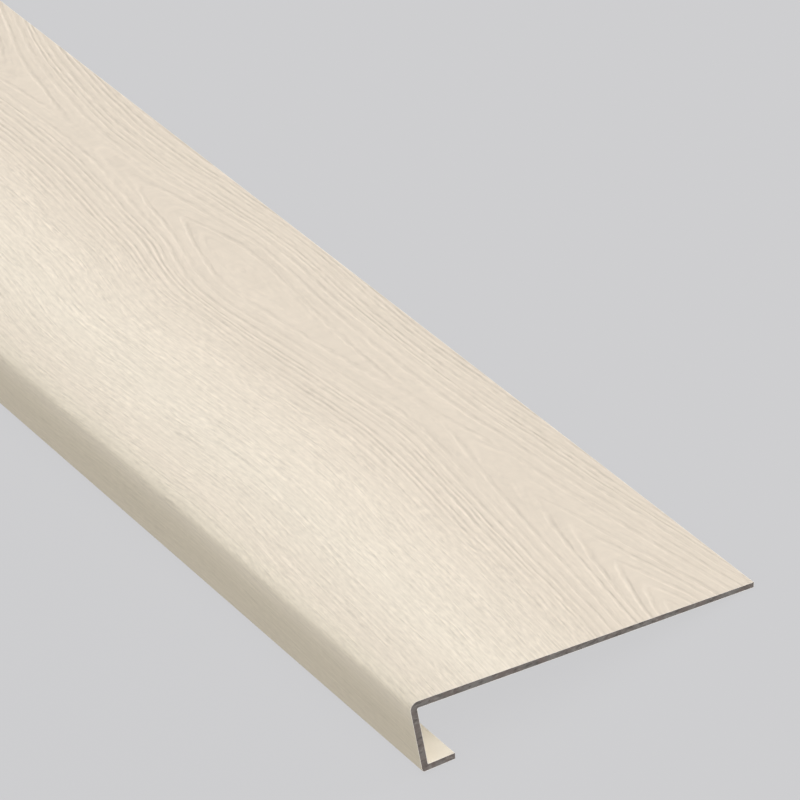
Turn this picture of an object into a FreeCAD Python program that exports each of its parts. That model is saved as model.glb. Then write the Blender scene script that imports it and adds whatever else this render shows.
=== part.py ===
import FreeCAD, Part
import math
import os

# Stair tread, an overlay that caps an old wooden step.
# It is one extruded section: a long plate, an apron that turns down over the
# step's nose, and a short lip that turns back under it.
# The section is drawn as it is fitted, with the plate's top level. Y runs from the
# nose to the back edge, Z up, and the nose's virtual outer corner is at 0, 0.
# All sizes are in millimetres and all angles in degrees.

LENGTH = 1194.0
DEPTH = 308.0

PLATE_AT_NOSE = 6.1
PLATE_AT_BACK = 4.65

APRON_DROP = 64.2
APRON_THICKNESS = 5.7
APRON_LEAN = 10.5

LIP_REACH = 28.6
LIP_THICKNESS = 5.5
LIP_TILT = 3.5

NOSE_RADIUS = 6.3
NOSE_INNER_RADIUS = 1.2
FOOT_RADIUS = 2.5
FOOT_INNER_RADIUS = 0.6
CUT_EDGE_RADIUS = 0.4


def heading(angle):
    """The unit vector in the section at this angle above the +Y direction."""
    a = math.radians(angle)
    return FreeCAD.Vector(0.0, math.cos(a), math.sin(a))


def meeting(p, u, q, v):
    """The point where the line through p along u meets the line through q along v."""
    det = u.y * v.z - u.z * v.y
    w = q - p
    return p + u * ((w.y * v.z - w.z * v.y) / det)


def section_corners():
    """The section's sharp corners, in order round it, by name."""
    nose = FreeCAD.Vector(0.0, 0.0, 0.0)
    back_top = FreeCAD.Vector(0.0, DEPTH, 0.0)
    back_bottom = FreeCAD.Vector(0.0, DEPTH, -PLATE_AT_BACK)
    under_nose = FreeCAD.Vector(0.0, 0.0, -PLATE_AT_NOSE)
    underside = back_bottom - under_nose

    down = heading(APRON_LEAN - 90.0)
    inward = heading(APRON_LEAN)
    foot = nose + down * (APRON_DROP / math.cos(math.radians(APRON_LEAN)))
    apron_inside = nose + inward * APRON_THICKNESS

    along_lip = heading(LIP_TILT)
    off_lip = heading(LIP_TILT + 90.0)
    lip_bottom = foot + along_lip * LIP_REACH
    lip_top = lip_bottom + off_lip * LIP_THICKNESS

    return {
        "nose": nose,
        "back_top": back_top,
        "back_bottom": back_bottom,
        "nose_inside": meeting(under_nose, underside, apron_inside, down),
        "foot_inside": meeting(apron_inside, down, lip_top, along_lip),
        "lip_top": lip_top,
        "lip_bottom": lip_bottom,
        "foot": foot,
    }


RADII = {
    "nose": NOSE_RADIUS,
    "back_top": CUT_EDGE_RADIUS,
    "back_bottom": CUT_EDGE_RADIUS,
    "nose_inside": NOSE_INNER_RADIUS,
    "foot_inside": FOOT_INNER_RADIUS,
    "lip_top": CUT_EDGE_RADIUS,
    "lip_bottom": CUT_EDGE_RADIUS,
    "foot": FOOT_RADIUS,
}


def corner_round(before, corner, after, radius):
    """The round at a corner: where it starts, its middle, where it ends, and its centre."""
    a = (before - corner).normalize()
    b = (after - corner).normalize()
    half = a.getAngle(b) / 2.0
    bisector = (a + b).normalize()
    centre = corner + bisector * (radius / math.sin(half))
    run = radius / math.tan(half)
    return corner + a * run, centre - bisector * radius, corner + b * run, centre


def section_rounds():
    """Every corner's round, by the corner's name, in order round the section."""
    corners = section_corners()
    names = list(corners)
    rounds = {}
    for i, name in enumerate(names):
        before = corners[names[i - 1]]
        after = corners[names[(i + 1) % len(names)]]
        rounds[name] = corner_round(before, corners[name], after, RADII[name])
    return rounds


def section_face():
    """The flat face of the section: straight runs joined by arcs."""
    rounds = list(section_rounds().values())
    edges = []
    for i, (start, middle, end, _) in enumerate(rounds):
        following = rounds[(i + 1) % len(rounds)]
        edges.append(Part.Arc(start, middle, end).toShape())
        edges.append(Part.makeLine(end, following[0]))
    return Part.Face(Part.Wire(edges))


def rest_angle():
    """How far the tread tips back when it is set down unheld.

    It then bears on the back end of its lip and on the bottom of its back edge.
    Both have the same small round, so the floor is parallel to the line through
    the two centres.
    """
    rounds = section_rounds()
    bearing = rounds["back_bottom"][3] - rounds["lip_bottom"][3]
    return math.degrees(math.atan2(bearing.z, bearing.y))


def tread():
    """The tread as it rests, the middle of its footprint at 0, 0, 0 and its length along X."""
    solid = section_face().extrude(FreeCAD.Vector(LENGTH, 0.0, 0.0))
    solid.rotate(FreeCAD.Vector(0, 0, 0), FreeCAD.Vector(1, 0, 0), -rest_angle())
    box = solid.optimalBoundingBox(False, False)
    middle = FreeCAD.Vector(box.Center.x, box.Center.y, box.ZMin)
    solid.translate(middle * -1.0)
    return solid


os.makedirs("parts", exist_ok=True)
tread().exportStep("parts/tread.step")
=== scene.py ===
import logging
import math
from dataclasses import dataclass, field
from enum import IntEnum
from functools import lru_cache

import bmesh
import bpy
from mathutils import Matrix, Vector, noise


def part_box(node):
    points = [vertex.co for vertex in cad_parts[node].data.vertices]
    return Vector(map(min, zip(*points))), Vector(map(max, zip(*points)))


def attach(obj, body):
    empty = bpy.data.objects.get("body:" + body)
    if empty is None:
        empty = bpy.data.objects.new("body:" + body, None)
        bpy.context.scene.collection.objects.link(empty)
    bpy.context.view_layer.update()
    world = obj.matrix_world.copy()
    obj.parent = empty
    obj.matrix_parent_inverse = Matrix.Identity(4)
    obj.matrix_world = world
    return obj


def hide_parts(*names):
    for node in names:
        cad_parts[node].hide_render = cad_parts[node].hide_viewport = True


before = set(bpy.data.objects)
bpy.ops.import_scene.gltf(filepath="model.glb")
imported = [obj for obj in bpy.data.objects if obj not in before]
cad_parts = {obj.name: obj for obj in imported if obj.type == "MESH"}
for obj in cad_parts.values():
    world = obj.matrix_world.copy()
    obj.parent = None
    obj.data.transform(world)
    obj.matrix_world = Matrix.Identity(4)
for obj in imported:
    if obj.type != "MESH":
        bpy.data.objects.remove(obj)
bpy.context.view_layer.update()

MM = 0.001

log = logging.getLogger("stair_tread")


class Skin(IntEnum):
    """The four kinds of surface that the tread shows, in the order of its material slots."""

    DECOR = 0
    FILM_EDGE = 1
    CORE = 2
    BACKING = 3


def linear(tone: tuple[int, int, int]) -> tuple[float, float, float, float]:
    """A colour as Blender's sockets want it.

    Args:
        tone: red, green and blue as seen on a screen, 0 to 255.

    Returns:
        Linear red, green and blue, and an alpha of 1.
    """

    def channel(value: int) -> float:
        v = value / 255.0
        return v / 12.92 if v <= 0.04045 else ((v + 0.055) / 1.055) ** 2.4

    red, green, blue = tone
    return channel(red), channel(green), channel(blue), 1.0


def smooth_step(value: float, low: float, high: float) -> float:
    """0 at low and 1 at high, with a soft step between them."""
    t = min(max((value - low) / (high - low), 0.0), 1.0)
    return t * t * (3.0 - 2.0 * t)


@lru_cache(maxsize=None)
def curve_through(stations: tuple[tuple[float, float], ...], at: float) -> tuple[float, float]:
    """A soft curve through stations along the board.

    Args:
        stations: pairs of place and value, in order of place.
        at: the place asked for, between the first and last stations.

    Returns:
        The value there and its slope.
    """
    i = max(k for k in range(len(stations) - 1) if stations[k][0] <= at or k == 0)
    (x0, y0), (x1, y1) = stations[i], stations[i + 1]
    before = stations[max(i - 1, 0)]
    after = stations[min(i + 2, len(stations) - 1)]
    span = x1 - x0
    lead = (y1 - before[1]) / (x1 - before[0]) * span
    trail = (after[1] - y0) / (after[0] - x0) * span
    t = (at - x0) / span
    bend = 2.0 * (y0 - y1) + lead + trail
    sweep = 3.0 * (y1 - y0) - 2.0 * lead - trail
    value = ((bend * t + sweep) * t + lead) * t + y0
    slope = ((3.0 * bend * t + 2.0 * sweep) * t + lead) / span
    return value, slope


@dataclass(frozen=True)
class Section:
    """The tread's section with the plate level and the nose's virtual corner at 0, 0."""

    length: float = 1194.0 * MM
    depth: float = 308.0 * MM
    plate_at_nose: float = 6.1 * MM
    plate_at_back: float = 4.65 * MM
    apron_drop: float = 64.2 * MM
    apron_thickness: float = 5.7 * MM
    apron_lean: float = math.radians(10.5)
    lip_reach: float = 28.6 * MM
    lip_thickness: float = 5.5 * MM
    lip_tilt: float = math.radians(3.5)
    nose_radius: float = 6.3 * MM
    nose_inner_radius: float = 1.2 * MM
    foot_radius: float = 2.5 * MM
    foot_inner_radius: float = 0.6 * MM
    cut_edge_radius: float = 0.4 * MM

    @staticmethod
    def heading(angle: float) -> Vector:
        """The unit vector in the section at this angle above +Y."""
        return Vector((0.0, math.cos(angle), math.sin(angle)))

    @staticmethod
    def meeting(p: Vector, u: Vector, q: Vector, v: Vector) -> Vector:
        """Where the line through p along u meets the line through q along v."""
        w = q - p
        return p + u * ((w.y * v.z - w.z * v.y) / (u.y * v.z - u.z * v.y))

    def corners(self) -> dict[str, tuple[Vector, float]]:
        """The sharp corners in order round the section, from the back edge over the top.

        Returns:
            Each corner's place and the radius of its round, by name.
        """
        nose = Vector((0.0, 0.0, 0.0))
        back_top = Vector((0.0, self.depth, 0.0))
        back_bottom = Vector((0.0, self.depth, -self.plate_at_back))
        under_nose = Vector((0.0, 0.0, -self.plate_at_nose))
        down = self.heading(self.apron_lean - math.pi / 2.0)
        foot = nose + down * (self.apron_drop / math.cos(self.apron_lean))
        inside = nose + self.heading(self.apron_lean) * self.apron_thickness
        along_lip = self.heading(self.lip_tilt)
        lip_bottom = foot + along_lip * self.lip_reach
        lip_top = lip_bottom + self.heading(self.lip_tilt + math.pi / 2.0) * self.lip_thickness
        nose_inside = self.meeting(under_nose, back_bottom - under_nose, inside, down)
        foot_inside = self.meeting(inside, down, lip_top, along_lip)
        return {
            "back_top": (back_top, self.cut_edge_radius),
            "nose": (nose, self.nose_radius),
            "foot": (foot, self.foot_radius),
            "lip_bottom": (lip_bottom, self.cut_edge_radius),
            "lip_top": (lip_top, self.cut_edge_radius),
            "foot_inside": (foot_inside, self.foot_inner_radius),
            "nose_inside": (nose_inside, self.nose_inner_radius),
            "back_bottom": (back_bottom, self.cut_edge_radius),
        }

    def round_of(self, name: str) -> tuple[Vector, float, float]:
        """The round at a corner.

        Args:
            name: the corner's name.

        Returns:
            The round's centre, how far it runs along each side, and the bevel profile that
            makes it part of a circle.
        """
        corners = self.corners()
        names = list(corners)
        i = names.index(name)
        corner, radius = corners[name]
        a = (corners[names[i - 1]][0] - corner).normalized()
        b = (corners[names[(i + 1) % len(names)]][0] - corner).normalized()
        half = a.angle(b) / 2.0
        centre = corner + (a + b).normalized() * (radius / math.sin(half))
        rise = (1.0 / math.sin(half) - 1.0) * math.tan(half) / (2.0 * math.cos(half))
        return centre, radius / math.tan(half), (1.0 - rise) ** 2

    def rest_angle(self) -> float:
        """How far the tread tips back onto its lip's end and its back edge."""
        bearing = self.round_of("back_bottom")[0] - self.round_of("lip_bottom")[0]
        return math.atan2(bearing.z, bearing.y)


@dataclass(frozen=True)
class LogFigure:
    """The figure of the board that the decor shows, as rings of a log sawn lengthwise.

    Distances are along the tread from the end with the open flames, and across it from
    the nose. The heart line is where the log's middle ran under the face, and the heart's
    depth is how far under it. Where it ran deeper, more rings lie over it, so the rings
    come out as flames, as a closed eye, or as straight lines far from the heart.
    """

    heart_line: tuple[tuple[float, float], ...] = (
        (0.000, 0.2375),
        (0.180, 0.2390),
        (0.320, 0.2420),
        (0.450, 0.2345),
        (0.600, 0.2320),
        (0.700, 0.2380),
        (0.800, 0.2390),
        (0.960, 0.2450),
        (1.050, 0.2500),
        (1.194, 0.2640),
    )
    heart_depth: tuple[tuple[float, float], ...] = (
        (0.000, 0.0400),
        (0.060, 0.0470),
        (0.120, 0.0525),
        (0.190, 0.0580),
        (0.250, 0.0620),
        (0.320, 0.0660),
        (0.380, 0.0665),
        (0.440, 0.0655),
        (0.520, 0.0620),
        (0.600, 0.0585),
        (0.650, 0.0605),
        (0.700, 0.0660),
        (0.750, 0.0695),
        (0.800, 0.0730),
        (0.880, 0.0750),
        (0.960, 0.0730),
        (1.050, 0.0660),
        (1.194, 0.0450),
    )
    inner_rings: tuple[float, ...] = (0.0450, 0.0490, 0.0540, 0.0580, 0.0667, 0.0733, 0.0790)
    outer_ring: float = 3.7 * MM
    unevenness: float = 0.45
    pointedness: float = 1.43
    spread: float = 1.17
    groove_reach: float = 1.7 * MM
    flattest: float = 0.28
    turning: float = 9.0 * MM
    figured_from: float = 150.0 * MM
    figured_full: float = 185.0 * MM

    def radius(self, along: float, across: float) -> tuple[float, float]:
        """How far from the log's heart a point of the face was.

        Args:
            along: distance from the end with the open flames.
            across: distance from the nose.

        Returns:
            The distance, and how fast it grows over the face.
        """
        heart, _ = curve_through(self.heart_line, along)
        depth, plunge = curve_through(self.heart_depth, along)
        aside = abs(across - heart) / self.spread
        power = self.pointedness
        radius = (aside**power + depth**power) ** (1.0 / power)
        rise = (aside / radius) ** (power - 1.0) / self.spread
        drift = plunge * (depth / radius) ** (power - 1.0)
        slow = noise.noise(Vector((along * 8.0, across * 30.0, 0.0))) * 1.3 * MM
        quick = noise.noise(Vector((along * 30.0, across * 110.0, 7.0))) * 0.45 * MM
        return radius + slow + quick, math.hypot(rise, drift)

    def ring(self, radius: float) -> tuple[float, float]:
        """Which ring a distance from the heart falls in.

        Args:
            radius: the distance from the heart.

        Returns:
            The rings counted from the heart, with a fraction, and the width of that ring.
        """
        first, last = self.inner_rings[0], self.inner_rings[-1]
        if radius >= last:
            even = (radius - last) / self.outer_ring
            nearby = 0.25
            growth = (self.uneven(even + nearby) - self.uneven(even - nearby)) / (2.0 * nearby)
            ring = len(self.inner_rings) - 1 + self.uneven(even) - self.uneven(0.0)
            return ring, self.outer_ring / growth
        if radius <= first:
            return (radius - first) / self.outer_ring, self.outer_ring
        i = max(k for k, edge in enumerate(self.inner_rings) if edge <= radius)
        width = self.inner_rings[i + 1] - self.inner_rings[i]
        return i + (radius - self.inner_rings[i]) / width, width

    def uneven(self, even: float) -> float:
        """The count of rings that are not all as wide as each other, from an even count."""
        return even + self.unevenness * noise.noise(Vector((even * 0.6, 0.5, 9.0)))

    def pitch(self, width: float, growing: float) -> float:
        """How far apart a ring's two edges lie on the face."""
        return width / max(growing, self.flattest)

    def strength(self, along: float, across: float, ring: float) -> float:
        """How deep the nearest groove is at a point, 0 to 1."""
        figured = smooth_step(across, self.figured_from, self.figured_full)
        edge = round(ring)
        own = 0.5 + 0.5 * noise.noise(Vector((edge * 1.7, 1.3, 5.1)))
        patchy = noise.noise(Vector((along * 13.0, edge * 2.3, 3.0)))
        return figured * min(max(0.50 + 0.45 * own + 0.65 * patchy, 0.25), 1.0)

    def side(self, along: float, across: float) -> float:
        """1 on the nose side of the heart line, -1 behind it, and in between near it."""
        heart, _ = curve_through(self.heart_line, along)
        return 2.0 * smooth_step(heart - across, -self.turning, self.turning) - 1.0

    def groove(self, ring: float, pitch: float) -> float:
        """How near a point is to the middle of a ring's groove, 0 to 1."""
        off = abs(ring - round(ring)) * pitch
        return 1.0 - smooth_step(off, 0.0, self.groove_reach)


class Graph:
    """A material's node tree, built node by node."""

    def __init__(self, name: str) -> None:
        """Starts an empty tree with its output.

        Args:
            name: the material's name.
        """
        self.material = bpy.data.materials.new(name)
        self.material.use_nodes = True
        self.tree = self.material.node_tree
        self.tree.nodes.clear()
        self.output = self.tree.nodes.new("ShaderNodeOutputMaterial")

    def node(self, kind: str, **settings: object) -> bpy.types.Node:
        """Adds a node and sets its own properties."""
        made = self.tree.nodes.new(kind)
        for key, value in settings.items():
            setattr(made, key, value)
        return made

    def feed(self, socket: bpy.types.NodeSocket, value: object) -> None:
        """Links a socket to another, or sets it to a constant."""
        if isinstance(value, bpy.types.NodeSocket):
            self.tree.links.new(value, socket)
        else:
            socket.default_value = value

    def math(self, operation: str, *values: object) -> bpy.types.NodeSocket:
        """A Math node's result."""
        made = self.node("ShaderNodeMath", operation=operation)
        for socket, value in zip(made.inputs, values):
            self.feed(socket, value)
        return made.outputs[0]

    def mix(self, factor: object, a: object, b: object, blend: str = "MIX") -> bpy.types.NodeSocket:
        """A colour mixed from two."""
        made = self.node("ShaderNodeMix", data_type="RGBA", blend_type=blend, clamp_factor=True)
        self.feed(made.inputs["Factor"], factor)
        self.feed(made.inputs[6], a)
        self.feed(made.inputs[7], b)
        return made.outputs[2]

    def step(self, value: object, low: float, high: float) -> bpy.types.NodeSocket:
        """0 at low and 1 at high, with a soft step between them."""
        made = self.node("ShaderNodeMapRange", interpolation_type="SMOOTHSTEP")
        self.feed(made.inputs["Value"], value)
        made.inputs["From Min"].default_value = low
        made.inputs["From Max"].default_value = high
        return made.outputs["Result"]

    def place(self) -> bpy.types.NodeSocket:
        """The point's place on the object."""
        return self.node("ShaderNodeTexCoord").outputs["Object"]

    def attribute(self, name: str) -> bpy.types.NodeSocket:
        """A number stored on the mesh."""
        return self.node("ShaderNodeAttribute", attribute_name=name).outputs["Fac"]

    def vector(self, x: object, y: object, z: object) -> bpy.types.NodeSocket:
        """A vector from three numbers."""
        made = self.node("ShaderNodeCombineXYZ")
        for socket, value in zip(made.inputs, (x, y, z)):
            self.feed(socket, value)
        return made.outputs[0]

    def stretched(self, vector: object, x: float, y: float, z: float) -> bpy.types.NodeSocket:
        """A vector scaled along its three axes."""
        made = self.node("ShaderNodeMapping", vector_type="POINT")
        self.feed(made.inputs["Vector"], vector)
        made.inputs["Scale"].default_value = (x, y, z)
        return made.outputs["Vector"]

    def noise(
        self, vector: object, scale: float = 1.0, detail: float = 2.0, rough: float = 0.5
    ) -> bpy.types.NodeSocket:
        """Soft noise, mostly between 0.25 and 0.75."""
        made = self.node("ShaderNodeTexNoise", noise_dimensions="3D")
        self.feed(made.inputs["Vector"], vector)
        made.inputs["Scale"].default_value = scale
        made.inputs["Detail"].default_value = detail
        made.inputs["Roughness"].default_value = rough
        return made.outputs["Fac"]

    def streaks(self, vector: object, streaks: "Streaks", detail: float = 2.0) -> bpy.types.NodeSocket:
        """Noise drawn out along the grain."""
        return self.noise(self.stretched(vector, streaks.along, streaks.across, 1.0), detail=detail)

    def inverse(self, value: object) -> bpy.types.NodeSocket:
        """What is left of 1."""
        return self.math("SUBTRACT", 1.0, value)

    def hump(self, step: object) -> bpy.types.NodeSocket:
        """1 halfway up a step between 0 and 1, and 0 at both its ends."""
        return self.math("MULTIPLY", self.math("MULTIPLY", step, self.inverse(step)), 4.0)

    def surface(
        self, colour: object, roughness: object, specular: float, height: object, lift: float
    ) -> bpy.types.Material:
        """Ends the tree in a surface.

        Args:
            colour: the base colour.
            roughness: the roughness.
            specular: the specular level.
            height: relief between 0 and 1.
            lift: how far a height of 1 stands above one of 0, in metres.

        Returns:
            The finished material.
        """
        shader = self.node("ShaderNodeBsdfPrincipled")
        bump = self.node("ShaderNodeBump")
        bump.inputs["Strength"].default_value = 1.0
        bump.inputs["Distance"].default_value = lift
        self.feed(bump.inputs["Height"], height)
        self.feed(shader.inputs["Base Color"], colour)
        self.feed(shader.inputs["Roughness"], roughness)
        self.feed(shader.inputs["Normal"], bump.outputs["Normal"])
        shader.inputs["Specular IOR Level"].default_value = specular
        self.feed(self.output.inputs["Surface"], shader.outputs["BSDF"])
        return self.material


@dataclass(frozen=True)
class Streaks:
    """How fine a noise is: about how many of its marks there are in a metre along and across."""

    along: float
    across: float


@dataclass(frozen=True)
class DecorFinish:
    """Cream wood print on an embossed film: rings and flames at the back, fine pores in front.

    The tone is a little paler over the front half of the plate than along its back. It also
    holds painted light: a painted highlight and shade over the nose round, and painted shade,
    darker and warmer, down the apron. Each tone is given at a distance from the nose.
    """

    # the stops over the nose round are a painted highlight and shade; those down the apron are painted shade,
    # darker and warmer towards the foot
    tones_with_painted_light: tuple[tuple[float, tuple[int, int, int]], ...] = (
        (-0.1000, (213, 203, 182)),
        (-0.0360, (212, 201, 179)),
        (-0.0200, (217, 206, 184)),
        (-0.0030, (228, 217, 197)),
        (-0.0005, (220, 210, 191)),
        (0.0035, (231, 221, 203)),
        (0.0080, (225, 215, 198)),
        (0.0220, (229, 218, 202)),
        (0.0750, (235, 225, 209)),
        (0.1250, (234, 223, 207)),
        (0.1750, (229, 217, 201)),
        (0.3100, (227, 215, 199)),
    )
    groove_depth: float = 0.55 * MM
    gentle_side: float = 2.6 * MM
    steep_side: float = 2.0 * MM
    open_rings: tuple[float, float] = (6.0 * MM, 13.0 * MM)
    broader: float = 0.6
    calm_open: float = 0.70
    # painted shadow on each groove's gentle side and painted highlight on its steep side, as the key light from
    # behind would light them
    painted_groove_shadow: float = 0.125
    painted_crest_highlight: float = 0.125
    fray: Streaks = Streaks(90.0, 500.0)
    frayed: float = 0.24
    wear: Streaks = Streaks(60.0, 260.0)
    worn_to: float = 0.35
    stroke_depth: float = 0.95 * MM
    stroke_print: float = 0.98
    short: Streaks = Streaks(115.0, 510.0)
    short_share: float = 0.42
    long: Streaks = Streaks(14.0, 345.0)
    long_share: float = 0.24
    line_spacing: float = 3.8 * MM
    swerve: Streaks = Streaks(10.0, 250.0)
    swerving: float = 2.6
    breaks: Streaks = Streaks(45.0, 300.0)
    line_share: float = 0.085
    patches: Streaks = Streaks(14.0, 80.0)
    least_lively: float = 0.55
    figured_from: float = 150.0 * MM
    figured_full: float = 190.0 * MM
    calm_figure: float = 0.60
    calm_heart: float = 0.75
    calm_apron: float = 0.55
    clouds: Streaks = Streaks(4.0, 22.0)
    clouding: float = 0.08

    def base(self, g: Graph, across: bpy.types.NodeSocket) -> bpy.types.NodeSocket:
        """The tone at each distance from the nose, with painted light on the nose round and painted shade down
        the apron.
        """
        low, high = self.tones_with_painted_light[0][0], self.tones_with_painted_light[-1][0]
        where = g.node("ShaderNodeMapRange")
        g.feed(where.inputs["Value"], across)
        where.inputs["From Min"].default_value = low
        where.inputs["From Max"].default_value = high
        tone = g.node("ShaderNodeValToRGB")
        stops = tone.color_ramp.elements
        while len(stops) < len(self.tones_with_painted_light):
            stops.new(0.5)
        for stop, (at, colour) in zip(stops, self.tones_with_painted_light):
            stop.position = (at - low) / (high - low)
            stop.color = linear(colour)
        g.feed(tone.inputs["Fac"], where.outputs["Result"])
        return tone.outputs["Color"]

    def rings(self, g: Graph, grain: bpy.types.NodeSocket) -> tuple[bpy.types.NodeSocket, bpy.types.NodeSocket]:
        """The grooves along the rings, each with one gentle side and one steep side.

        Args:
            g: the material's tree.
            grain: the point's place along the board and out from the log's heart.

        Returns:
            How deep the groove is, 0 to 1, and the painted shadow and painted highlight along it.
        """
        fray = g.math("MULTIPLY_ADD", g.streaks(grain, self.fray), self.frayed, -0.5 * self.frayed)
        count = g.math("ADD", g.attribute("ring"), fray)
        turn = g.math("SUBTRACT", g.math("FRACT", g.math("ADD", count, 0.5)), 0.5)
        pitch = g.attribute("pitch")
        side = g.attribute("side")
        off = g.math("MULTIPLY", turn, pitch)
        half = g.math("MULTIPLY", pitch, 0.5)
        mean = 0.5 * (self.gentle_side + self.steep_side)
        swing = 0.5 * (self.gentle_side - self.steep_side)
        wide = g.step(pitch, *self.open_rings)
        broad = g.math("MULTIPLY_ADD", wide, self.broader, 1.0)
        inner = g.math("MULTIPLY", g.math("MULTIPLY_ADD", side, swing, mean), broad)
        outer = g.math("MULTIPLY", g.math("MULTIPLY_ADD", side, -swing, mean), broad)
        inner = g.math("MINIMUM", inner, half)
        outer = g.math("MINIMUM", outer, half)
        falling = g.step(g.math("DIVIDE", off, inner), -1.0, 0.0)
        risen = g.step(g.math("DIVIDE", off, outer), 0.0, 1.0)
        wear = g.step(g.streaks(grain, self.wear), 0.36, 0.58)
        own = g.math("MULTIPLY_ADD", wear, 1.0 - self.worn_to, self.worn_to)
        own = g.math("MULTIPLY", own, g.attribute("strength"))
        own = g.math("MULTIPLY", own, g.math("MULTIPLY_ADD", wide, self.calm_open - 1.0, 1.0))
        groove = g.math("MULTIPLY", g.math("MULTIPLY", falling, g.inverse(risen)), own)
        # painted shade on the gentle side and painted highlight on the steep side, on both sides of the heart
        # line
        middle = 0.5 * (self.painted_crest_highlight - self.painted_groove_shadow)
        contrast = 0.5 * (self.painted_crest_highlight + self.painted_groove_shadow)
        inner_painted_light = g.math("MULTIPLY", g.hump(falling), g.math("MULTIPLY_ADD", side, -contrast, middle))
        outer_painted_light = g.math("MULTIPLY", g.hump(risen), g.math("MULTIPLY_ADD", side, contrast, middle))
        return groove, g.math("MULTIPLY", g.math("ADD", inner_painted_light, outer_painted_light), own)

    def strokes(
        self, g: Graph, grain: bpy.types.NodeSocket, sheet: bpy.types.NodeSocket
    ) -> bpy.types.NodeSocket:
        """The fine pores: broken lines close together, with short strokes between them.

        Args:
            g: the material's tree.
            grain: the point's place along the board and out from the log's heart.
            sheet: its place along the board and across it.

        Returns:
            The strokes' height about 0.
        """
        radius = g.attribute("radius")
        across = g.attribute("across")
        short = g.math("SUBTRACT", g.streaks(grain, self.short), 0.5)
        long = g.math("SUBTRACT", g.streaks(grain, self.long), 0.5)
        swerve = g.math("MULTIPLY", g.streaks(grain, self.swerve), self.swerving)
        count = g.math("MULTIPLY_ADD", radius, 1.0 / self.line_spacing, swerve)
        wave = g.math("SINE", g.math("MULTIPLY", count, 2.0 * math.pi))
        line = g.math("MULTIPLY", wave, g.step(g.streaks(grain, self.breaks), 0.40, 0.60))
        drawn = g.math("MULTIPLY", short, self.short_share)
        drawn = g.math("MULTIPLY_ADD", long, self.long_share, drawn)
        drawn = g.math("MULTIPLY_ADD", line, self.line_share, drawn)

        patch = g.step(g.streaks(sheet, self.patches), 0.38, 0.62)
        lively = g.math("MULTIPLY_ADD", patch, 1.0 - self.least_lively, self.least_lively)
        figured = g.step(across, self.figured_from, self.figured_full)
        figured = g.math("MULTIPLY_ADD", figured, self.calm_figure - 1.0, 1.0)
        hearted = g.step(g.attribute("ring"), 4.0, 9.0)
        hearted = g.math("MULTIPLY_ADD", hearted, 1.0 - self.calm_heart, self.calm_heart)
        level = g.step(across, -8.0 * MM, 4.0 * MM)
        level = g.math("MULTIPLY_ADD", level, 1.0 - self.calm_apron, self.calm_apron)
        for factor in (lively, figured, hearted, level):
            drawn = g.math("MULTIPLY", drawn, factor)
        return drawn

    def build(self) -> bpy.types.Material:
        """Makes the material."""
        g = Graph("wood_decor")
        split = g.node("ShaderNodeSeparateXYZ")
        g.feed(split.inputs[0], g.place())
        across = g.attribute("across")
        sheet = g.vector(split.outputs["X"], across, 0.0)
        grain = g.vector(split.outputs["X"], g.attribute("radius"), 0.0)
        groove, painted_groove_light = self.rings(g, grain)
        strokes = self.strokes(g, grain, sheet)

        clouds = g.streaks(sheet, self.clouds, detail=3.0)
        shade = g.math("MULTIPLY_ADD", clouds, self.clouding, 1.005 - 0.5 * self.clouding)
        # adds the painted shadow and painted highlight along the grooves
        shade = g.math("ADD", shade, painted_groove_light)
        shade = g.math("MULTIPLY_ADD", strokes, self.stroke_print, shade)
        tint = g.node("ShaderNodeCombineColor")
        for socket in tint.inputs[:3]:
            g.feed(socket, shade)
        colour = g.mix(1.0, self.base(g, across), tint.outputs[0], "MULTIPLY")

        whole = self.groove_depth + self.stroke_depth
        height = g.math("MULTIPLY_ADD", groove, -self.groove_depth / whole, 1.0)
        height = g.math("MULTIPLY_ADD", strokes, self.stroke_depth / whole, height)
        roughness = g.math("MULTIPLY_ADD", strokes, -0.2, 0.55)
        return g.surface(colour, roughness, 0.3, height, whole)


@dataclass(frozen=True)
class FilmEdgeFinish:
    """The film's own thickness where it was sawn: pale, slightly glossy plastic."""

    pale: tuple[int, int, int] = (250, 246, 238)
    dull: tuple[int, int, int] = (238, 230, 216)

    def build(self) -> bpy.types.Material:
        """Makes the material."""
        g = Graph("film_edge")
        specks = g.noise(g.place(), scale=700.0, detail=2.0)
        colour = g.mix(g.step(specks, 0.4, 0.75), linear(self.pale), linear(self.dull))
        return g.surface(colour, 0.45, 0.4, specks, 0.02 * MM)


@dataclass(frozen=True)
class CoreFinish:
    """Foamed dark core where it was sawn: mottled taupe, with fine open cells."""

    grey: tuple[int, int, int] = (118, 114, 110)
    brown: tuple[int, int, int] = (112, 103, 98)
    dark: tuple[int, int, int] = (84, 79, 75)
    pale: tuple[int, int, int] = (131, 125, 120)

    def build(self) -> bpy.types.Material:
        """Makes the material."""
        g = Graph("foamed_core")
        place = g.place()
        clouds = g.noise(place, scale=70.0, detail=3.0)
        blots = g.noise(g.stretched(place, 1.0, 1.0, 2.0), scale=180.0, detail=2.0)
        cells = g.node("ShaderNodeTexVoronoi", feature="F1")
        g.feed(cells.inputs["Vector"], place)
        cells.inputs["Scale"].default_value = 1400.0
        base = g.mix(g.step(clouds, 0.38, 0.62), linear(self.grey), linear(self.brown))
        flecks = g.noise(g.stretched(place, 1.0, 1.0, 1.6), scale=260.0, detail=1.0)
        mottled = g.mix(g.step(blots, 0.44, 0.78), base, linear(self.dark))
        mottled = g.mix(g.step(flecks, 0.48, 0.80), mottled, linear(self.pale))
        pits = g.math("MULTIPLY", g.step(cells.outputs["Distance"], 0.12, 0.42), g.step(blots, 0.2, 0.6))
        return g.surface(mottled, 0.8, 0.2, pits, 0.08 * MM)


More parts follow.
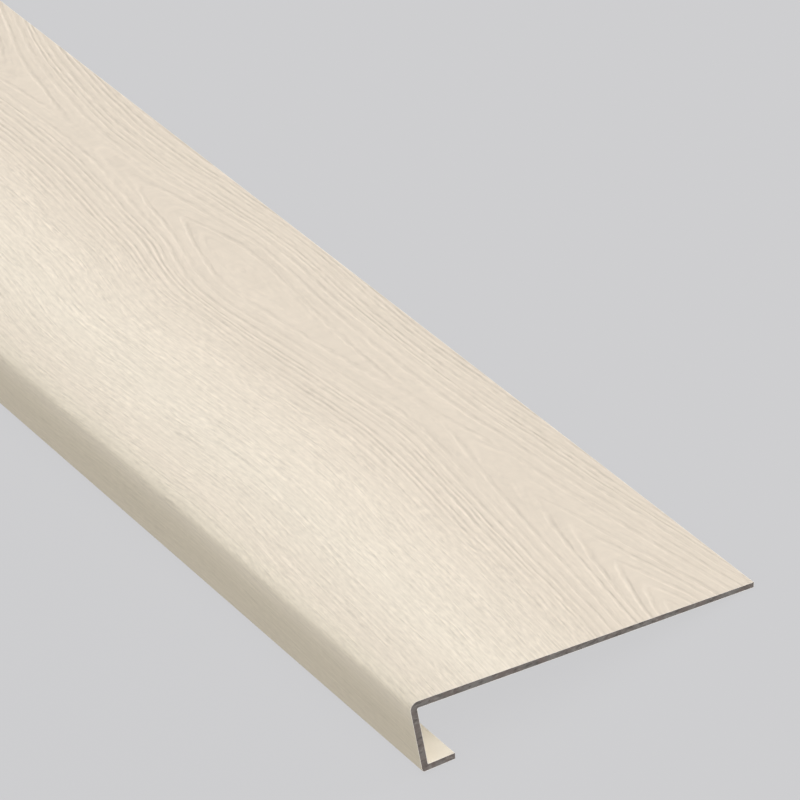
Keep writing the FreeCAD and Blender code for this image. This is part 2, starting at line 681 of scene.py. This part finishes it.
@dataclass(frozen=True)
class BackingFinish:
    """Plain cream backing on the hidden faces: matt, with faint lengthwise rolling marks."""

    pale: tuple[int, int, int] = (243, 237, 224)
    dull: tuple[int, int, int] = (237, 229, 214)

    def build(self) -> bpy.types.Material:
        """Makes the material."""
        g = Graph("cream_backing")
        place = g.place()
        rolled = g.noise(g.stretched(place, 40.0, 700.0, 700.0), detail=2.0)
        cloud = g.noise(place, scale=14.0, detail=3.0)
        colour = g.mix(g.step(cloud, 0.3, 0.7), linear(self.pale), linear(self.dull))
        roughness = g.math("MULTIPLY_ADD", rolled, 0.1, 0.55)
        return g.surface(colour, roughness, 0.3, rolled, 0.05 * MM)


@dataclass
class Tread:
    """The tread: a moulded core with the decor film bonded round it.

    It is modelled with the plate level, the nose's virtual corner at 0, 0 in the section
    and its middle at x = 0. Then it is tipped back onto its lip, as it rests.
    """

    section: Section = field(default_factory=Section)
    figure: LogFigure = field(default_factory=LogFigure)
    film: float = 0.2 * MM
    columns: int = 298
    figured_rows: int = 166
    plain_rows: int = 50
    apron_rows: int = 18
    under_rows: int = 12
    relief: float = 0.07 * MM
    smooth_below: float = math.radians(35.0)
    piece: bpy.types.Object = field(default=None, init=False)
    resting: Matrix = field(default=None, init=False)

    def mesh(self) -> bmesh.types.BMesh:
        """The mesh that is being edited."""
        return bmesh.from_edit_mesh(self.piece.data)

    @staticmethod
    def select(items: list) -> None:
        """Selects these vertices, edges or faces, and nothing else."""
        bpy.ops.mesh.select_all(action="DESELECT")
        for item in items:
            item.select_set(True)

    def build(self) -> bpy.types.Object:
        """Models and dresses the tread.

        Returns:
            The finished piece.
        """
        self.draw_corners()
        self.round_corners()
        self.divide_outline()
        self.measure_girth()
        self.run_out_length()
        self.cut_film_line()
        self.dress()
        bpy.ops.object.mode_set(mode="OBJECT")
        self.print_figure()
        self.press_relief()
        self.set_down()
        return self.piece

    def draw_corners(self) -> None:
        """Draws the section's corners from a flat primitive at the near end."""
        corners = [corner for corner, _ in self.section.corners().values()]
        bpy.ops.object.select_all(action="DESELECT")
        bpy.ops.mesh.primitive_circle_add(vertices=len(corners), radius=self.section.depth, fill_type="NGON")
        self.piece = bpy.context.active_object
        self.piece.name = "tread_board"
        self.piece.data.name = "tread_board"
        bpy.ops.object.mode_set(mode="EDIT")
        bpy.ops.mesh.select_mode(type="VERT")
        near_end = Vector((self.section.length / 2.0, 0.0, 0.0))
        for i, corner in enumerate(corners):
            mesh = self.mesh()
            mesh.verts.ensure_lookup_table()
            vert = mesh.verts[i]
            self.select([vert])
            bpy.ops.transform.translate(value=near_end + corner - vert.co)

    def round_corners(self) -> None:
        """Bevels each corner of the drawn section to its round."""
        near_end = Vector((self.section.length / 2.0, 0.0, 0.0))
        arc_step = 0.6 * MM
        for name, (corner, radius) in self.section.corners().items():
            at = near_end + corner
            vert = min(self.mesh().verts, key=lambda v: (v.co - at).length)
            self.select([vert])
            _, run, profile = self.section.round_of(name)
            steps = max(4, math.ceil(radius * math.pi / 2.0 / arc_step))
            bpy.ops.mesh.bevel(
                offset_type="OFFSET", offset=run, segments=steps, profile=profile, affect="VERTICES"
            )

    def divide_run(self, a: Vector, b: Vector, rows: int) -> None:
        """Divides the outline's straight edge between two places.

        Args:
            a: a point near one end of the edge, in the section.
            b: a point near its other end.
            rows: how many parts it is divided into.
        """
        middle = (a + b) / 2.0
        along = (b - a).normalized()

        def misses(edge: bmesh.types.BMEdge) -> float:
            centre = (edge.verts[0].co + edge.verts[1].co) / 2.0
            gap = Vector((0.0, centre.y - middle.y, centre.z - middle.z)).length
            turned = (edge.verts[1].co - edge.verts[0].co).normalized().cross(along).length
            return gap + turned

        edge = min(self.mesh().edges, key=misses)
        bpy.ops.mesh.select_mode(type="EDGE")
        self.select([edge])
        bpy.ops.mesh.subdivide(number_cuts=rows - 1)
        bpy.ops.mesh.select_mode(type="VERT")

    def divide_outline(self) -> None:
        """Divides the section's long straight runs into the rows that carry the relief."""
        corners = {name: corner for name, (corner, _) in self.section.corners().items()}
        nose_run = self.section.heading(0.0) * self.section.round_of("nose")[1]
        front = corners["nose"] + nose_run
        back = corners["back_top"] - self.section.heading(0.0) * self.section.cut_edge_radius
        half = (front + back) / 2.0
        quarter = (half + back) / 2.0
        self.divide_run(front, back, 2)
        self.divide_run(front, half, self.plain_rows)
        self.divide_run(half, back, 2)
        self.divide_run(half, quarter, self.figured_rows // 2)
        self.divide_run(quarter, back, self.figured_rows // 2)
        self.divide_run(corners["nose"], corners["foot"], self.apron_rows)
        self.divide_run(corners["nose_inside"], corners["back_bottom"], self.under_rows)

    def measure_girth(self) -> None:
        """Stores on each point its distance round the section from the nose.

        It is the distance from the nose on the plate's top, falls below zero down the
        apron, and goes on falling under the lip and round the inside.
        """
        mesh = self.mesh()
        across = mesh.verts.layers.float.new("across")
        loop = [each.vert for each in mesh.faces[:][0].loops]
        start = max(loop, key=lambda v: (round(v.co.z / MM, 3), v.co.y))
        i = loop.index(start)
        ahead = loop[(i + 1) % len(loop)]
        turn = 1 if ahead.co.y < start.co.y and abs(ahead.co.z) < 1e-7 else -1
        at = start.co.y
        for k in range(len(loop)):
            vert = loop[(i + turn * k) % len(loop)]
            following = loop[(i + turn * (k + 1)) % len(loop)]
            vert[across] = at
            at -= (following.co - vert.co).length

    def run_out_length(self) -> None:
        """Extrudes the section to the tread's length, in even columns."""
        bpy.ops.mesh.select_mode(type="FACE")
        bpy.ops.mesh.select_all(action="SELECT")
        stride = self.section.length / self.columns
        bpy.ops.mesh.extrude_repeat(steps=self.columns, offset=(-stride, 0.0, 0.0))
        bpy.ops.mesh.select_all(action="SELECT")
        bpy.ops.mesh.normals_make_consistent(inside=False)

    def ends(self) -> list:
        """The faces of the two sawn ends."""
        limit = self.section.length / 2.0 - 0.01 * MM
        return [f for f in self.mesh().faces if all(abs(v.co.x) > limit for v in f.verts)]

    def cut_film_line(self) -> None:
        """Insets the sawn ends by the film's thickness."""
        self.select(self.ends())
        bpy.ops.mesh.inset(thickness=self.film, depth=0.0, use_individual=True)

    def girth_at(self, name: str) -> float:
        """The distance round the section from the nose at a corner's middle."""
        mesh = self.mesh()
        across = mesh.verts.layers.float["across"]
        corner, _ = self.section.corners()[name]
        near = min(mesh.verts, key=lambda v: math.hypot(v.co.y - corner.y, v.co.z - corner.z))
        return near[across]

    def dress(self) -> None:
        """Gives each face its finish, by where it lies round the section."""
        finishes = {
            Skin.DECOR: DecorFinish(),
            Skin.FILM_EDGE: FilmEdgeFinish(),
            Skin.CORE: CoreFinish(),
            Skin.BACKING: BackingFinish(),
        }
        for skin in Skin:
            self.piece.data.materials.append(finishes[skin].build())
        back_top, back_bottom, lip_top, lip_bottom = (
            self.girth_at(name) for name in ("back_top", "back_bottom", "lip_top", "lip_bottom")
        )
        cuts = (back_top, back_bottom, lip_top, lip_bottom)
        mesh = self.mesh()
        across = mesh.verts.layers.float["across"]
        by_skin: dict[Skin, list] = {skin: [] for skin in Skin}
        sawn = set(self.ends())
        for face in mesh.faces:
            girth = [v[across] for v in face.verts]
            middle = sum(girth) / len(girth)
            wraps = max(girth) - min(girth) > self.section.depth
            is_cut = wraps or middle < back_bottom or lip_top < middle < lip_bottom
            is_film = wraps or min(abs(middle - cut) for cut in cuts) < self.film
            if face in sawn:
                skin = Skin.CORE if is_cut or len(face.verts) > 4 else Skin.FILM_EDGE
            elif is_film:
                skin = Skin.FILM_EDGE
            elif is_cut:
                skin = Skin.CORE
            else:
                skin = Skin.DECOR if middle >= lip_bottom else Skin.BACKING
            by_skin[skin].append(face.index)
        for skin, faces in by_skin.items():
            mesh = self.mesh()
            mesh.faces.ensure_lookup_table()
            self.select([mesh.faces[i] for i in faces])
            self.piece.active_material_index = skin
            bpy.ops.object.material_slot_assign()

    def print_figure(self) -> None:
        """Stores the board's rings on each point of the film, and marks where grooves go."""
        data = self.piece.data
        places = [vert.co.copy() for vert in data.vertices]
        across = [item.value for item in data.attributes["across"].data]
        names = ("radius", "ring", "pitch", "strength", "side")
        stored: dict[str, list[float]] = {name: [] for name in names}
        for place, at in zip(places, across):
            along = self.section.length / 2.0 - place.x
            radius, growing = self.figure.radius(along, at)
            ring, width = self.figure.ring(radius)
            stored["radius"].append(radius)
            stored["ring"].append(ring)
            stored["pitch"].append(self.figure.pitch(width, growing))
            stored["strength"].append(self.figure.strength(along, at, ring))
            stored["side"].append(self.figure.side(along, at))
        for name, values in stored.items():
            data.attributes.new(name, "FLOAT", "POINT").data.foreach_set("value", values)
        on_top = -0.5 * MM
        group = self.piece.vertex_groups.new(name="groove")
        for i, place in enumerate(places):
            if stored["strength"][i] > 0.0 and place.z > on_top:
                near = self.figure.groove(stored["ring"][i], stored["pitch"][i])
                group.add([i], stored["strength"][i] * near, "REPLACE")

    def press_relief(self) -> None:
        """Presses the grooves into the top and smooths the rounds."""
        self.piece.select_set(True)
        press = self.piece.modifiers.new("embossing", "DISPLACE")
        press.direction = "Z"
        press.mid_level = 0.0
        press.strength = -self.relief
        press.vertex_group = "groove"
        bpy.ops.object.modifier_apply(modifier=press.name)
        self.piece.vertex_groups.clear()
        bpy.ops.object.shade_smooth_by_angle(angle=self.smooth_below)

    def set_down(self) -> None:
        """Tips the tread back onto its lip's end and its back edge, where the frame has it."""
        tipped = Matrix.Rotation(-self.section.rest_angle(), 4, "X")
        points = [tipped @ vert.co for vert in self.piece.data.vertices]
        low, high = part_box("tread")
        middle_y = (min(p.y for p in points) + max(p.y for p in points)) / 2.0
        drop = Vector((0.0, (low[1] + high[1]) / 2.0 - middle_y, low[2] - min(p.z for p in points)))
        self.resting = Matrix.Translation(drop) @ tipped
        self.piece.matrix_world = self.resting
        bpy.ops.object.transform_apply(location=True, rotation=True, scale=True)


@dataclass(frozen=True)
class Studio:
    """A pale floor, a soft sky, a low key light from behind and the photograph's camera."""

    floor_side: float = 90.0
    floor_tone: tuple[int, int, int] = (206, 206, 208)
    floor_glow: float = 0.9225
    floor_matt: float = 0.05
    sky_strength: float = 0.20
    key_strength: float = 1.97
    key_from: tuple[float, float, float] = (0.30, 0.94, 0.15)
    key_softness: float = math.radians(20.0)
    fill_strength: float = 2.23
    fill_from: tuple[float, float, float] = (0.10, -0.35, 0.93)
    fill_softness: float = math.radians(90.0)
    end_strength: float = 0.8
    end_from: tuple[float, float, float] = (1.0, 0.25, 0.06)
    end_softness: float = math.radians(12.0)
    camera_azimuth: float = math.radians(57.33)
    camera_elevation: float = math.radians(30.54)
    camera_place: tuple[float, float, float] = (3648.7 * MM, -1964.7 * MM, 2398.1 * MM)
    lens: float = 268.92
    sensor: float = 36.0

    def lay_floor(self) -> None:
        """Lays the floor."""
        bpy.ops.object.select_all(action="DESELECT")
        bpy.ops.mesh.primitive_plane_add(size=self.floor_side, location=(0.0, 0.0, 0.0))
        floor = bpy.context.active_object
        floor.name = "floor"
        g = Graph("pale_floor")
        glow = g.node("ShaderNodeEmission")
        glow.inputs["Color"].default_value = linear(self.floor_tone)
        glow.inputs["Strength"].default_value = self.floor_glow
        matt = g.node("ShaderNodeBsdfDiffuse")
        matt.inputs["Color"].default_value = (self.floor_matt, self.floor_matt, self.floor_matt, 1.0)
        both = g.node("ShaderNodeAddShader")
        g.feed(both.inputs[0], glow.outputs[0])
        g.feed(both.inputs[1], matt.outputs[0])
        g.feed(g.output.inputs["Surface"], both.outputs[0])
        floor.data.materials.append(g.material)

    def hang_light(
        self, name: str, strength: float, source: tuple[float, float, float], softness: float
    ) -> None:
        """Hangs a broad light.

        Args:
            name: the light's name.
            strength: its strength, in watts per square metre.
            source: the direction it comes from.
            softness: how wide it looks from the tread.
        """
        bpy.ops.object.light_add(type="SUN", location=Vector(source) * 3.0)
        light = bpy.context.active_object
        light.name = name
        light.data.energy = strength
        light.data.angle = softness
        light.rotation_euler = Vector(source).to_track_quat("Z", "Y").to_euler()

    def light(self) -> None:
        """Makes the soft sky and hangs the lights."""
        world = bpy.data.worlds.new("soft_sky")
        bpy.context.scene.world = world
        world.use_nodes = True
        sky = world.node_tree.nodes["Background"]
        sky.inputs["Color"].default_value = (1.0, 1.0, 1.0, 1.0)
        sky.inputs["Strength"].default_value = self.sky_strength
        self.hang_light("key_light", self.key_strength, self.key_from, self.key_softness)
        self.hang_light("fill_light", self.fill_strength, self.fill_from, self.fill_softness)
        self.hang_light("end_light", self.end_strength, self.end_from, self.end_softness)

    def set_camera(self, resting: Matrix) -> None:
        """Sets the camera where it looks at the resting tread as it looked at the level one.

        Args:
            resting: what takes the level tread to where it rests.
        """
        bpy.ops.object.camera_add()
        camera = bpy.context.active_object
        camera.name = "photo_camera"
        camera.data.lens = self.lens
        camera.data.sensor_width = self.sensor
        camera.data.clip_end = 100.0
        turned = Matrix.Rotation(self.camera_azimuth, 4, "Z")
        raised = Matrix.Rotation(math.pi / 2.0 - self.camera_elevation, 4, "X")
        camera.matrix_world = resting @ Matrix.Translation(self.camera_place) @ turned @ raised
        bpy.context.scene.camera = camera


def main() -> None:
    """Builds the tread and the studio round it."""
    logging.basicConfig(level=logging.INFO, format="%(name)s: %(message)s")
    tread = Tread()
    piece = tread.build()
    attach(piece, "root")
    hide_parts("tread")
    log.info("%s: %d points, %d faces", piece.name, len(piece.data.vertices), len(piece.data.polygons))
    studio = Studio()
    studio.lay_floor()
    studio.light()
    studio.set_camera(tread.resting)
    bpy.context.scene.view_settings.view_transform = "Standard"


if __name__ == "__main__":
    main()
